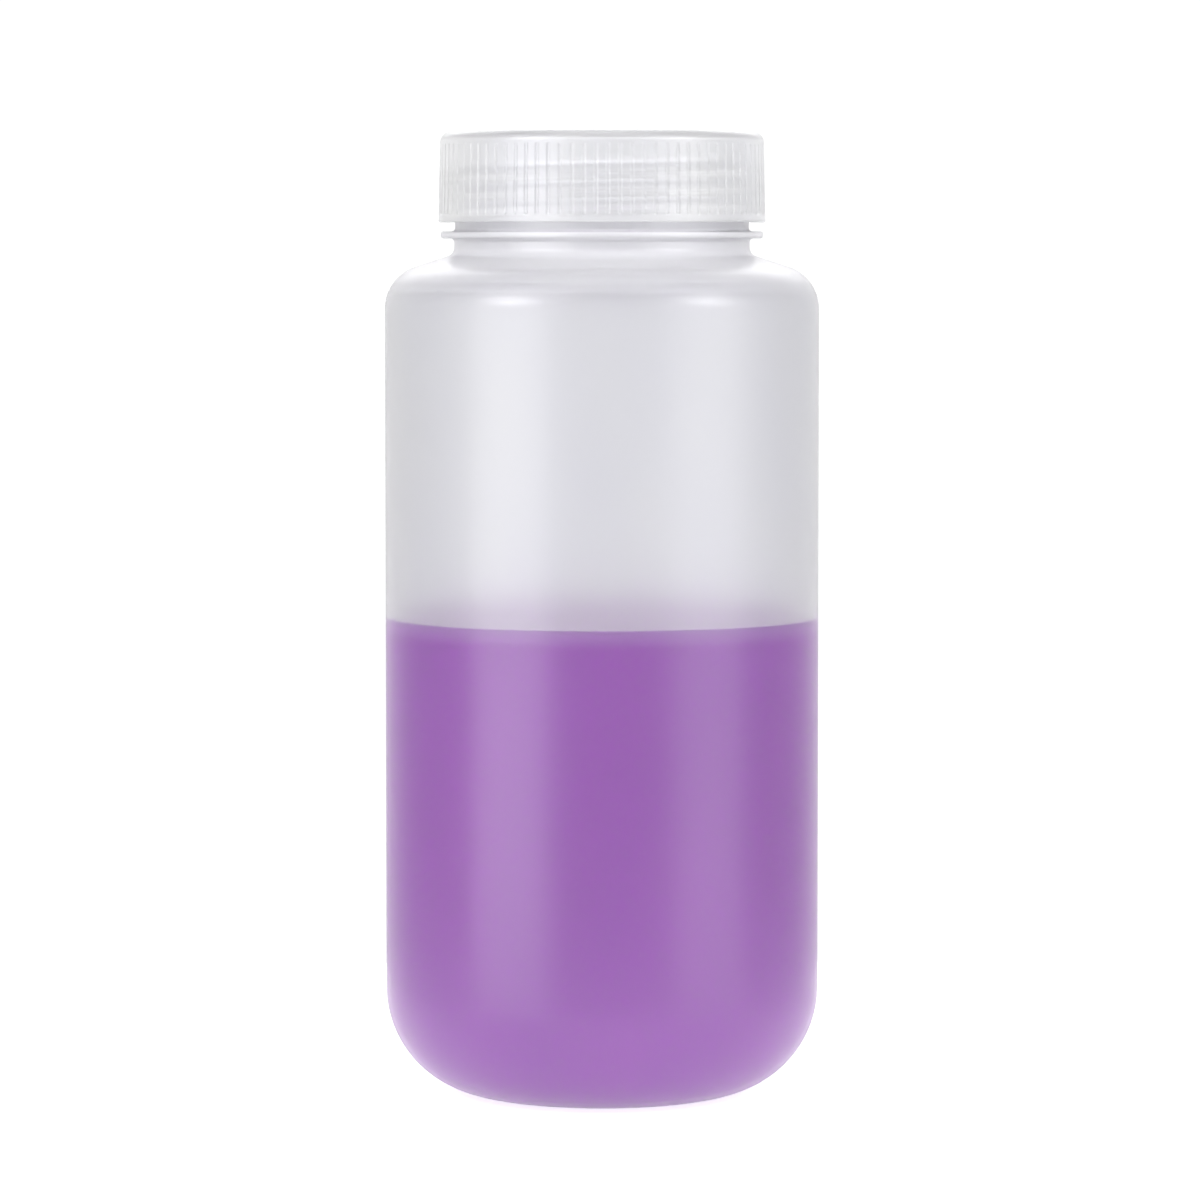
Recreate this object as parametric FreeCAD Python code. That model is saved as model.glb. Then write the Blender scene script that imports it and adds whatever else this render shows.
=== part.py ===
import FreeCAD, Part

import math
import os

os.makedirs("parts", exist_ok=True)

# Wide-mouth sample bottle with a ribbed screw cap, part filled with liquid.
# Millimetres, +Z up, origin at the middle of the base on the surface that it stands on.
# Every profile is a section on the right of the axis, given as radius and height.

# Body: a straight round wall between a large round heel and the shoulder
body_radius = 46.0
body_wall = 2.0
wall_top = 167.0
heel_radius = 22.5

# Base: a flat ring to stand on, round a shallow push-up with the mould's pinch line
standing_width = 3.5
push_up_height = 2.2
push_up_floor_radius = 14.0
pinch_length = 24.0
pinch_width = 0.8
pinch_height = 0.35

# Shoulder: a rounded corner, then a gentle slope up to the neck
shoulder_radius = 9.4
shoulder_slope = 18.0
neck_fillet = 2.0

# Neck finish: a plain collar, the support ring, then the threaded part up to the lip
finish_radius = 31.1
finish_wall = 1.6
collar_step = 0.2
collar_height = 3.3
ring_width = 3.05
ring_thickness = 1.5
ring_round = 0.4
lip_round = 0.4

# Thread: one right-hand ridge, from just above the ring, that rises out of the neck and sinks back
thread_pitch = 3.7
thread_turns = 2.5
thread_start_height = 5.1
thread_start_angle = 180.0
thread_height = 1.35
thread_root_width = 2.5
thread_crest_width = 1.0
thread_bury = 0.4
thread_runout_turns = 0.12
thread_points_per_turn = 16

# Screw cap: a drafted skirt under a flat panel, with a plug ring that enters the mouth
cap_gap = 1.9
skirt_depth = 17.3
skirt_wall = 1.8
skirt_draft = 1.1
skirt_mouth_chamfer = 0.5
thread_clearance = 0.35
panel_thickness = 1.8
cap_top_round = 2.3
plug_clearance = 0.3
plug_wall = 1.3
plug_tip_wall = 0.7
plug_length = 4.5

# Grip: fine upright grooves between a plain band at the skirt's foot and the rounded top edge
groove_count = 86
groove_depth = 0.35
groove_mouth_width = 1.0
groove_floor_width = 0.35
groove_end_run = 0.45
groove_overcut = 0.3
foot_band = 1.6
head_band = 0.3

# Fill
fill_height = 101.5
fill_gap = 0.05

# A rounding is drawn in equal flats, so that the solids stay light. This is how far its flats
# may stray from the true round, on the surfaces that are handled and inside the bottle.
outer_stray = 0.12
inner_stray = 0.8

# Radii that follow from the sizes above
standing_outer_radius = body_radius - heel_radius
standing_inner_radius = standing_outer_radius - standing_width
bore_radius = finish_radius - finish_wall
collar_radius = finish_radius + collar_step
ring_radius = finish_radius + ring_width
skirt_bore_radius = finish_radius + thread_height + thread_clearance
skirt_radius = skirt_bore_radius + skirt_wall
plug_outer_radius = bore_radius - plug_clearance

# Heights that follow from the sizes above
slope_tangent = math.tan(math.radians(shoulder_slope))
corner_tangent = math.tan(math.radians((90 - shoulder_slope) / 2))
shoulder_corner_z = wall_top + shoulder_radius * corner_tangent
collar_foot_z = shoulder_corner_z + (body_radius - collar_radius) * slope_tangent
ring_bottom_z = collar_foot_z + collar_height
ring_top_z = ring_bottom_z + ring_thickness
skirt_bottom_z = ring_top_z + cap_gap
lip_z = skirt_bottom_z + skirt_depth
cap_top_z = lip_z + panel_thickness


def section_point(radius, z):
    return FreeCAD.Vector(radius, 0, z)


def rounded_corner(before, corner, after, rounding, stray):
    """The points along a corner's rounding, joined by as few equal flats as stray allows."""
    back = (before - corner).normalize()
    ahead = (after - corner).normalize()
    half_angle = back.getAngle(ahead) / 2
    reach = rounding / math.tan(half_angle)
    inward = (back + ahead).normalize()
    centre = corner + inward * (rounding / math.sin(half_angle))
    first = (corner + back * reach - centre).normalize()
    turn = math.pi - 2 * half_angle
    flats = math.ceil(turn / 2 / math.acos(max(0, 1 - stray / rounding)))
    points = []
    for step in range(flats + 1):
        angle = turn * step / flats
        points.append(centre + (first * math.cos(angle) - back * math.sin(angle)) * rounding)
    return points


def solid_of_revolution(corners, stray):
    """The solid swept round the axis by a closed section of (radius, z, rounding)."""
    sharp = [section_point(radius, z) for radius, z, rounding in corners]
    outline = []
    for index, (radius, z, rounding) in enumerate(corners):
        if rounding > 0:
            before = sharp[index - 1]
            after = sharp[(index + 1) % len(sharp)]
            outline += rounded_corner(before, sharp[index], after, rounding, stray)
        else:
            outline.append(sharp[index])
    face = Part.Face(Part.makePolygon(outline + outline[:1]))
    return face.revolve(FreeCAD.Vector(0, 0, 0), FreeCAD.Vector(0, 0, 1), 360)


def base_corners(lift):
    """The push-up and the standing ring's inner edge, raised by lift."""
    return [
        (0, push_up_height + lift, 0),
        (push_up_floor_radius, push_up_height + lift, 0),
        (standing_inner_radius, lift, 0),
    ]


def outside_of_bottle():
    """The bottle's outer form as one solid, without its thread."""
    return solid_of_revolution(
        base_corners(0)
        + [
            (body_radius, 0, heel_radius),
            (body_radius, shoulder_corner_z, shoulder_radius),
            (collar_radius, collar_foot_z, neck_fillet),
            (collar_radius, ring_bottom_z, 0),
            (ring_radius, ring_bottom_z, ring_round),
            (ring_radius, ring_top_z, ring_round),
            (finish_radius, ring_top_z, 0),
            (finish_radius, lip_z, lip_round),
            (0, lip_z, 0),
        ],
        outer_stray,
    )


def hollow_corners(inset):
    """The lower part of the hollow, its faces drawn in by inset, up to the straight wall."""
    heel_corner = (body_radius - body_wall - inset, body_wall + inset, heel_radius - body_wall)
    return base_corners(body_wall + inset) + [heel_corner]


def hollow_of_bottle():
    """What is cut out of the bottle, up through its mouth."""
    # The shoulder's inner slope runs one wall below the outer one
    slope_drop = body_wall / math.cos(math.radians(shoulder_slope)) - body_wall * slope_tangent
    wall_radius = body_radius - body_wall
    corner_z = shoulder_corner_z - slope_drop
    mouth_foot_z = corner_z + (wall_radius - bore_radius) * slope_tangent
    above_z = lip_z + lip_round
    return solid_of_revolution(
        hollow_corners(0)
        + [
            (wall_radius, corner_z, shoulder_radius - body_wall),
            (bore_radius, mouth_foot_z, neck_fillet + finish_wall),
            (bore_radius, lip_z - lip_round, 0),
            (bore_radius + 2 * lip_round, above_z, 0),
            (0, above_z, 0),
        ],
        inner_stray,
    )


def thread_ridge():
    """The thread, swept along a helix that starts and ends sunk in the neck's wall."""
    start_z = ring_top_z + thread_start_height
    steps = math.ceil(thread_turns * thread_points_per_turn)
    route = []
    for step in range(steps + 1):
        turn = thread_turns * step / steps
        rise = min(1, turn / thread_runout_turns, (thread_turns - turn) / thread_runout_turns)
        sunk = (thread_height + thread_bury / 2) * (1 - math.sin(rise * math.pi / 2))
        angle = math.radians(thread_start_angle + 360 * turn)
        radius = finish_radius - sunk
        height = start_z + thread_pitch * turn
        route.append(FreeCAD.Vector(radius * math.cos(angle), radius * math.sin(angle), height))
    spine = Part.BSplineCurve()
    spine.interpolate(route)

    flank = (thread_root_width - thread_crest_width) / 2 / thread_height
    buried_width = thread_root_width + 2 * flank * thread_bury
    start_radius = math.hypot(route[0].x, route[0].y)
    section = [
        section_point(start_radius - thread_bury, start_z - buried_width / 2),
        section_point(start_radius + thread_height, start_z - thread_crest_width / 2),
        section_point(start_radius + thread_height, start_z + thread_crest_width / 2),
        section_point(start_radius - thread_bury, start_z + buried_width / 2),
    ]
    profile = Part.makePolygon(section + section[:1])
    profile.rotate(FreeCAD.Vector(0, 0, 0), FreeCAD.Vector(0, 0, 1), thread_start_angle)
    sweep = Part.BRepOffsetAPI.MakePipeShell(Part.Wire([spine.toShape()]))
    sweep.setBiNormalMode(FreeCAD.Vector(0, 0, 1))
    sweep.add(profile)
    sweep.build()
    sweep.makeSolid()
    return sweep.shape()


def pinch_line():
    """The low seam across the push-up's floor, where the mould pinched the tube shut."""
    corner = FreeCAD.Vector(-pinch_length / 2, -pinch_width / 2, push_up_height - pinch_height)
    return Part.makeBox(pinch_length, pinch_width, pinch_height + body_wall / 2, corner)


def bottle():
    return outside_of_bottle().fuse([thread_ridge(), pinch_line()]).cut(hollow_of_bottle())


def skirt_radius_at(z):
    """The drafted skirt's outer radius at this height."""
    return skirt_radius - (z - skirt_bottom_z) * math.tan(math.radians(skirt_draft))


def cap_body():
    """The cap without its grip grooves, as one revolved section."""
    plug_tip_z = lip_z - plug_length
    return solid_of_revolution(
        [
            (0, cap_top_z, 0),
            (skirt_radius_at(cap_top_z), cap_top_z, cap_top_round),
            (skirt_radius, skirt_bottom_z, 0),
            (skirt_bore_radius + skirt_mouth_chamfer, skirt_bottom_z, 0),
            (skirt_bore_radius, skirt_bottom_z + skirt_mouth_chamfer, 0),
            (skirt_bore_radius, lip_z, 0),
            (plug_outer_radius, lip_z, 0),
            (plug_outer_radius, plug_tip_z + plug_wall, 0),
            (plug_outer_radius - plug_wall + plug_tip_wall, plug_tip_z, 0),
            (plug_outer_radius - plug_wall, plug_tip_z, 0),
            (plug_outer_radius - plug_wall, lip_z, 0),
            (0, lip_z, 0),
        ],
        outer_stray,
    )


def groove_cutter():
    """One grip groove: a trapezoid in section, with sloping ends, that leans with the draft."""
    bottom_z = skirt_bottom_z + foot_band
    top_z = cap_top_z - cap_top_round - head_band
    flank = (groove_mouth_width - groove_floor_width) / 2 / groove_depth

    def outline(depth):
        half = groove_mouth_width / 2 - flank * depth
        end = groove_end_run * depth / groove_depth
        corners = []
        for z in (bottom_z + end, top_z - end):
            radius = skirt_radius_at(z) - depth
            corners.append((FreeCAD.Vector(radius, -half, z), FreeCAD.Vector(radius, half, z)))
        (low_left, low_right), (high_left, high_right) = corners
        return [low_left, low_right, high_right, high_left]

    mouth = outline(-groove_overcut)
    floor = outline(groove_depth)
    faces = [mouth, floor]
    for index in range(4):
        after = (index + 1) % 4
        faces.append([mouth[index], mouth[after], floor[after], floor[index]])
    shell = Part.makeShell([Part.Face(Part.makePolygon(face + face[:1])) for face in faces])
    return Part.makeSolid(shell)


def screw_cap():
    cutters = []
    for index in range(groove_count):
        cutter = groove_cutter()
        angle = 360 * index / groove_count
        cutter.rotate(FreeCAD.Vector(0, 0, 0), FreeCAD.Vector(0, 0, 1), angle)
        cutters.append(cutter)
    return cap_body().cut(cutters)


def liquid():
    """The fill: the lower part of the hollow, up to a level surface."""
    level_radius = body_radius - body_wall - fill_gap
    surface = [(level_radius, fill_height, 0), (0, fill_height, 0)]
    return solid_of_revolution(hollow_corners(fill_gap) + surface, inner_stray)


bottle().exportStep("parts/bottle.step")
screw_cap().exportStep("parts/screw_cap.step")
liquid().exportStep("parts/liquid.step")
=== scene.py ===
"""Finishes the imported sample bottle: blown bottle, ribbed screw cap, sample and studio."""

import math

import bpy
import numpy as np
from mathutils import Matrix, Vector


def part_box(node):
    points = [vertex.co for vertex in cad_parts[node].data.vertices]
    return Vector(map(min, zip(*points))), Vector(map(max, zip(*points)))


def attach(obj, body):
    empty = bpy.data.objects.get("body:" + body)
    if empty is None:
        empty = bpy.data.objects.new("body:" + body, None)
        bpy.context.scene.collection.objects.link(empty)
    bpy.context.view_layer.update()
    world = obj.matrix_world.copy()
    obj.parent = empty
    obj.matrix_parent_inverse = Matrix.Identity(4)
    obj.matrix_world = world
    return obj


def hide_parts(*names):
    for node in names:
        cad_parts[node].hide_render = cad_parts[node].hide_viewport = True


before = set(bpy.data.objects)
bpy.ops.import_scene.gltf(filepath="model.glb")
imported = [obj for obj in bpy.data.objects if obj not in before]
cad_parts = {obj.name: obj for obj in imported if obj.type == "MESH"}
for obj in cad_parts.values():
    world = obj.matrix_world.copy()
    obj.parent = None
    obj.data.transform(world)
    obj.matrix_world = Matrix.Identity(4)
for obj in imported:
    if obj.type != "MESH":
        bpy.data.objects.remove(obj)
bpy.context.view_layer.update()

bl_info = {
    "name": "Sample Bottle",
    "version": (1, 0, 0),
    "blender": (4, 5, 0),
    "location": "3D View > Sidebar > Sample Bottle",
    "description": "Wide-mouth sample bottle with a ribbed screw cap and a coloured sample",
    "category": "Object",
}

MM = 0.001

bottle_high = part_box("bottle")[1]
cap_low, cap_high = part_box("screw_cap")
liquid_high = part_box("liquid")[1]


def length(name, text, default):
    """A size that a user would change, held in metres."""
    return bpy.props.FloatProperty(
        name=name, description=text, default=default, min=0.0, unit="LENGTH", precision=5
    )


def share(name, text, default):
    """A part of one that a user would change."""
    return bpy.props.FloatProperty(
        name=name, description=text, default=default, min=0.0, max=1.0, subtype="FACTOR"
    )


def number(name, text, default):
    """A plain number that a user would change."""
    return bpy.props.FloatProperty(name=name, description=text, default=default, min=0.0)


def angle(name, text, degrees):
    """An angle that a user would change, held in radians."""
    return bpy.props.FloatProperty(
        name=name, description=text, default=math.radians(degrees), subtype="ANGLE"
    )


def colour(name, text, default):
    """A linear colour that a user would change."""
    return bpy.props.FloatVectorProperty(
        name=name, description=text, default=default, min=0.0, max=1.0, size=3, subtype="COLOR"
    )


class BottleSizes(bpy.types.PropertyGroup):
    """The blown bottle's section."""

    body_radius: length("Body radius", "Outside radius of the straight wall", bottle_high.x)
    lip_height: length("Lip height", "Height of the mouth's lip", bottle_high.z)
    wall: length("Wall", "Thickness of the body, shoulder and base", 2.0 * MM)
    wall_top: length("Wall top", "Height where the straight wall meets the shoulder", 167.0 * MM)
    heel_radius: length("Heel", "Radius of the large round at the foot", 22.5 * MM)
    standing_width: length("Standing ring", "Width of the flat ring that it stands on", 3.5 * MM)
    push_up: length("Push-up", "Rise of the base inside the standing ring", 2.2 * MM)
    push_up_radius: length("Push-up floor", "Radius of the push-up's flat floor", 14.0 * MM)
    pinch_length: length("Pinch length", "Length of the seam across the base", 24.0 * MM)
    pinch_width: length("Pinch width", "Width of the seam across the base", 0.8 * MM)
    pinch_height: length("Pinch height", "How far the seam stands off the base", 0.35 * MM)
    shoulder_radius: length("Shoulder round", "Radius of the shoulder's outer corner", 9.4 * MM)
    shoulder_slope: angle("Shoulder slope", "Rise of the shoulder towards the neck", 18.0)
    neck_fillet: length("Neck fillet", "Round between the shoulder and the collar", 2.0 * MM)
    finish_radius: length("Finish radius", "Outside radius of the threaded neck", 31.1 * MM)
    finish_wall: length("Finish wall", "Thickness of the threaded neck", 1.6 * MM)
    collar_step: length("Collar step", "How far the collar stands off the neck", 0.2 * MM)
    collar_height: length("Collar height", "Height of the collar under the ring", 3.3 * MM)
    ring_width: length("Ring width", "How far the support ring stands off the neck", 3.05 * MM)
    ring_thickness: length("Ring thickness", "Height of the support ring", 1.5 * MM)
    edge_round: length("Edge round", "Small round on the ring's and the lip's edges", 0.6 * MM)
    root_round: length("Root round", "Small round in the corners beside the ring", 0.8 * MM)


class ThreadSizes(bpy.types.PropertyGroup):
    """The right-hand thread on the neck and its partner inside the cap."""

    pitch: length("Pitch", "Rise of the thread in one turn", 3.7 * MM)
    turns: number("Turns", "Turns of the thread", 2.5)
    start_height: length("Start", "Height of the neck thread's start over the ring", 5.1 * MM)
    start_angle: angle("Start angle", "Where the thread starts, from the right side", 180.0)
    height: length("Height", "How far the neck's thread stands out", 1.35 * MM)
    root: length("Root width", "Width of the neck's thread at its foot", 2.5 * MM)
    crest: length("Crest width", "Width of the neck's thread at its top", 1.0 * MM)
    cap_height: length("Cap height", "How far the cap's thread stands in", 1.2 * MM)
    cap_root: length("Cap root width", "Width of the cap's thread at its foot", 1.6 * MM)
    cap_crest: length("Cap crest width", "Width of the cap's thread at its top", 0.6 * MM)
    runout: number("Run-out", "Turns over which the thread rises and sinks", 0.12)
    softness: length("Softness", "Half the width over which its edges are rounded", 0.16 * MM)


class CapSizes(bpy.types.PropertyGroup):
    """The moulded screw cap's section and grip."""

    skirt_radius: length("Skirt radius", "Outside radius at the skirt's foot", cap_high.x)
    skirt_foot: length("Skirt foot", "Height of the skirt's foot", cap_low.z)
    top: length("Top", "Height of the cap's top", cap_high.z)
    skirt_wall: length("Skirt wall", "Thickness of the skirt at its foot", 1.8 * MM)
    draft: angle("Draft", "Lean of the skirt's outside", 1.1)
    panel: length("Panel", "Thickness of the top panel", 1.8 * MM)
    top_round: length("Top round", "Radius of the top edge", 2.3 * MM)
    foot_round: length("Foot round", "Small round at the skirt's foot", 0.35 * MM)
    mouth_chamfer: length("Mouth chamfer", "Lead-in inside the skirt's foot", 0.5 * MM)
    plug_clearance: length("Plug clearance", "Play between the plug ring and the bore", 0.3 * MM)
    plug_wall: length("Plug wall", "Thickness of the plug ring", 1.3 * MM)
    plug_tip: length("Plug tip", "Thickness of the plug ring's tip", 0.7 * MM)
    plug_length: length("Plug length", "How far the plug ring reaches down", 4.5 * MM)
    ribs: bpy.props.IntProperty(
        name="Ribs", description="Grip ribs round the skirt", default=86, min=3
    )
    groove_depth: length("Groove depth", "Depth of the grooves between ribs", 0.18 * MM)
    groove_mouth: length("Groove mouth", "Width of a groove at the surface", 0.9 * MM)
    groove_floor: length("Groove floor", "Width of a groove's floor", 0.45 * MM)
    groove_run: length("Groove run", "Length of a groove's sloping end", 0.45 * MM)
    foot_band: length("Foot band", "Plain band under the grooves", 1.6 * MM)
    head_band: length("Head band", "Plain band between the grooves and the top round", 0.3 * MM)


class SampleSizes(bpy.types.PropertyGroup):
    """The liquid in the bottle."""

    level: length("Level", "Height of the liquid's surface", liquid_high.z)
    stand_off: length("Stand-off", "How far the liquid's skin stays off the wall", 0.05 * MM)
    meniscus_height: length("Meniscus height", "Rise of the surface at the wall", 0.12 * MM)
    meniscus_reach: length("Meniscus reach", "How far from the wall the rise begins", 0.8 * MM)


class Finishes(bpy.types.PropertyGroup):
    """Colours and see-through of the plastics and the sample."""

    bottle_colour: colour("Bottle", "Outside of the milky bottle", (0.945, 0.945, 1.0))
    inside_colour: colour("Bottle inside", "Inside of the bottle", (0.69, 0.69, 0.705))
    wetted_colour: colour("Wetted", "Inside of the bottle beside the liquid", (0.79, 0.79, 0.82))
    # Painted shade: a darker tone painted on the threads, standing in for the dark lines seen along
    # them
    painted_thread_shade: colour("Thread", "The thicker plastic of the threads", (0.66, 0.66, 0.71))
    neck_colour: colour("Neck", "The bottle's thinner shoulder and neck", (0.945, 0.945, 0.97))
    cap_colour: colour("Cap", "Milky plastic of the cap", (0.967, 0.969, 1.0))
    sample_colour: colour("Sample", "Colour of the liquid", (0.378, 0.03, 0.537))
    # Painted light: the liquid's paler tone just under its level
    level_light_colour: colour("Sample edge", "The liquid's tone just under its level", (0.60, 0.26, 0.78))
    bottle_clear: share("Bottle clearness", "How much light the bottle lets straight in", 0.94)
    neck_clear: share("Neck clearness", "How much light the neck lets straight in", 0.54)
    bottle_sheen: share("Bottle sheen", "Pale haze at the bottle's edges", 0.1)
    cap_clear: share("Cap clearness", "How much light the cap lets straight in", 0.62)
    bottle_rough: share("Bottle roughness", "Haze of the bottle's outside", 0.32)
    cap_rough: share("Cap roughness", "Haze of the cap's outside", 0.3)
    cap_inside_rough: share("Cap inside roughness", "Haze of the cap's inside", 0.1)
    thread_rough: share("Thread roughness", "Haze of the neck under the cap", 0.12)
    inside_rough: share("Inside roughness", "Haze of the bottle's smoother inside", 0.15)
    wetted_rough: share("Wetted roughness", "Haze of the wall that the liquid wets", 0.05)


class StudioSettings(bpy.types.PropertyGroup):
    """Camera and lights."""

    distance: length("Distance", "Camera's distance in front of the bottle's axis", 1210.0 * MM)
    height: length("Height", "Camera's height over the floor", 183.4 * MM)
    pitch: angle("Pitch", "How far the camera looks down", 3.7)
    focal: number("Focal ratio", "Focal length in widths of the picture", 4.75)
    aside: length("Aside", "How far the camera stands to the left of the axis", 0.42 * MM)
    left_power: number("Left light", "Power of the left softbox, in watts", 17.5)
    right_power: number("Right light", "Power of the right softbox, in watts", 10.5)
    core_power: number("Core light", "Power of each side softbox's bright core, in watts", 1.8)
    back_power: number("Back light", "Power of the softbox over the back, in watts", 3.5)
    top_power: number("Top light", "Power of the overhead softbox, in watts", 1.7)
    sky: number("Sky", "Strength of the white surroundings", 1.07)
    ceiling: share("Ceiling", "How bright the surroundings are overhead", 0.78)
    gloss_share: share("Gloss share", "How strongly the sides show in the gloss", 0.47)
    table_radius: length("Table radius", "Radius of the round table top", 220.0 * MM)
    table_glow: number("Table glow", "How strongly the lit table top shines", 0.75)


# Turn of one step in large and in small rounds, and the longest straight steps
FINE_TURN = math.radians(5.0)
SMALL_TURN = math.radians(11.25)
SMALL_ROUND = 1.0 * MM
COARSE_RUN = 6.0 * MM
BORE_RUN = 3.0 * MM
THREAD_RUN = 0.2 * MM
SEAM_RUN = 1.0 * MM
SAME_PLACE = 0.01 * MM

# Columns round the bottle, and the cap's columns as offsets from the middle of a groove, of
# which its inside has every fourth
BOTTLE_COLUMNS = 256
RIB_OFFSETS = np.array((-0.9, -0.6, -0.45, -0.3, -0.17, 0.0, 0.17, 0.3, 0.45, 0.6, 0.9, 1.26)) * MM
INNER_EVERY = 4

# The base: where its lines start inside and outside the bottle, in radii of the push-up's floor,
# the rounds beside the floor and the standing ring, and what counts as floor, in push-up heights
INNER_START = 0.4
OUTER_START = 0.94
PUSH_UP_ROUND = 2.0 * MM
STANDING_ROUND = 1.5 * MM
FLOOR_SHARE = 0.9

# The threads: shifts that soften the edges, and how deep a run-out sinks, in thread heights
SOFT_STEPS = 5
RUNOUT_DEPTH = 1.15

# The cap: rounds inside it, its rings nearest the axis, the first step out from the middle of
# the foot, and how far the outside's columns run in over the top, in top rounds
PLUG_ROUND = 0.25 * MM
CAP_CENTRE = 4.0 * MM
FOOT_STEP = 0.1 * MM
TOP_REACH = 1.3

# The sample's surface: rows of the meniscus, the root of the first one's share of their run, the
# run in reaches of the meniscus, and the ring nearest the axis
MENISCUS_ROWS = 14
MENISCUS_FIRST = 0.1
MENISCUS_RUN = 4
SAMPLE_CENTRE = 2.0 * MM

# Places of the finishes in each piece's list: the bottle's, the cap's own and the sample's own
OUTSIDE, INSIDE, WETTED, FIRST_BAND = range(4)
BORE = 2
ON_TOP = 1

# The milky plastic: its cloud changes the tone, its haze the roughness and its flow marks the
# relief, each with so many waves a metre
PLASTIC_IOR = 1.49
WETTED_IOR = 1.12
CLOUD_WAVES = 45.0
CLOUD_STRETCH = 0.4
CLOUD_SHADE = 1.03
HAZE_WAVES = 220.0
HAZE_DETAIL = 4.0
HAZE_SPREAD = 0.06
FLOW_WAVES = 38.0
FLOW_STRETCH = 0.35
BOTTLE_FLOW_DEPTH = 0.03 * MM
CAP_FLOW_DEPTH = 0.02 * MM
SHEEN_ROUGH = 0.4

# How far the neck's and the cap's threads stand out where their darker tone, painted shade, starts
# and is full
CREST_SHADE = (0.7 * MM, 1.1 * MM)
CAP_CREST_SHADE = (0.6 * MM, 1.0 * MM)

# Heights between which the plastic's tone turns into the neck's
NECK_FADE = (170.0 * MM, 176.5 * MM)

# Bands of the thinner shoulder and neck: the height where each starts, and how far its clearness
# lies from the neck's, at 0, towards the body's, at 1
NECK_ZONES = (
    (171.5 * MM, 0.72),
    (173.2 * MM, 0.48),
    (174.6 * MM, 0.22),
    (176.0 * MM, 0.1),
    (180.9 * MM, -0.05),
    (183.2 * MM, 0.4),
)

# The smoother part of the neck starts this far over the support ring
THREAD_ZONE = 3.5 * MM

# The sample: depth of the paler tone painted under its level as painted light, cloud, ripples and
# gloss
SAMPLE_IOR = 1.33
LEVEL_LIGHT_FADE = 3.8 * MM
SAMPLE_WAVES = 25.0
SAMPLE_SHADE = 1.05
SAMPLE_ROUGH_WAVES = 60.0
SAMPLE_ROUGH = (0.04, 0.07)
RIPPLE_WAVES = 30.0
RIPPLE_DEPTH = 0.02 * MM
WALL_GLOSS = 0.0
TOP_GLOSS = 0.08

# A noise mostly stays between these values
NOISE_LOW = 0.3
NOISE_HIGH = 0.7

# The table top: a many-sided plate just under the bottle
TABLE_SIDES = 96
TABLE_DROP = 0.05 * MM
TABLE_TONES = ((0.90, 0.90, 0.90), (0.93, 0.93, 0.93))
TABLE_WAVES = 3.0
TABLE_ROUGH = 0.7

# The surroundings: how far back a direction points where they are full and where they are weaker
# in the gloss, and how far up where the ceiling starts
BEHIND_TO_BESIDE = (0.85, 0.45)
CEILING_START = 0.3
WHITE = (1.0, 1.0, 1.0, 1.0)

# The camera's sensor in millimetres and its nearest distance in metres
SENSOR_WIDTH = 36.0
CLIP_START = 0.01

# Softboxes: the height that they face, and for each its power's name, its width and height, its
# turn from the camera's side and rise in degrees, and whether it lights the plastics too or only
# shows in the gloss
AIM_HEIGHT = 120.0 * MM
SOFTBOXES = {
    "left_softbox": ("left_power", (0.78, 2.0), -49, 5, False),
    "left_core": ("core_power", (0.35, 0.28), -51, 27, True),
    "right_softbox": ("right_power", (0.75, 2.0), 57, 5, False),
    "right_core": ("core_power", (0.35, 0.28), 60, 25, True),
    "back_softbox": ("back_power", (1.0, 0.7), 180, 40, False),
    "top_softbox": ("top_power", (0.8, 0.8), 0, 85, True),
}


def even_turns(count):
    """Angles at even steps right round the axis."""
    return np.arange(count) * math.tau / count


def arc_points(before, corner, after, rounding):
    """Points along the round of one corner of a section."""
    back = (before - corner) / np.linalg.norm(before - corner)
    ahead = (after - corner) / np.linalg.norm(after - corner)
    half = math.acos(np.clip(back @ ahead, -1, 1)) / 2
    inward = (back + ahead) / np.linalg.norm(back + ahead)
    centre = corner + inward * rounding / math.sin(half)
    first = corner + back * rounding / math.tan(half) - centre
    turn = math.pi - 2 * half
    steps = max(2, math.ceil(turn / (SMALL_TURN if rounding < SMALL_ROUND else FINE_TURN)))
    side = -back * rounding
    turns = np.linspace(0, turn, steps + 1)[:, None]
    return centre + first * np.cos(turns) + side * np.sin(turns)


def section(corners):
    """A smooth line through corners of (radius, height, rounding, longest step after it)."""
    places = [np.array(corner[:2]) for corner in corners]
    points = []
    for index, corner in enumerate(corners):
        if corner[2] > 0:
            bend = arc_points(places[index - 1], places[index], places[index + 1], corner[2])
        else:
            bend = places[index][None, :]
        if points:
            start = points[-1][-1]
            run = np.linalg.norm(bend[0] - start)
            steps = max(1, math.ceil(run / corners[index - 1][3]))
            between = np.linspace(0, 1, steps + 1)[1:-1, None]
            points.append(start + (bend[0] - start) * between)
        points.append(bend)
    return np.vstack([part for part in points if len(part)])


def ridge(heights, angles, start, thread, profile):
    """How far a helical ridge stands out at each height and angle, its edges softened.

    The profile is its height and its widths at the root and at the crest.
    """
    size, root, crest = profile
    pitch = thread.pitch
    flank = (root - crest) / 2 / size
    total = 0
    for shift in np.linspace(-thread.softness, thread.softness, SOFT_STEPS):
        turned = pitch * (angles[None, :] - thread.start_angle) / math.tau
        rise = heights[:, None] + shift - start - turned
        off = (rise + pitch / 2) % pitch - pitch / 2
        turn = (heights[:, None] + shift - off - start) / pitch
        ends = np.clip(np.minimum(turn, thread.turns - turn) / thread.runout, 0, 1)
        sunk = size * RUNOUT_DEPTH * (1 - np.sin(ends * math.pi / 2))
        stand = np.minimum(size, (root / 2 - np.abs(off)) / flank) - sunk
        total = total + np.clip(stand, 0, None)
    return total / SOFT_STEPS


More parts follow.
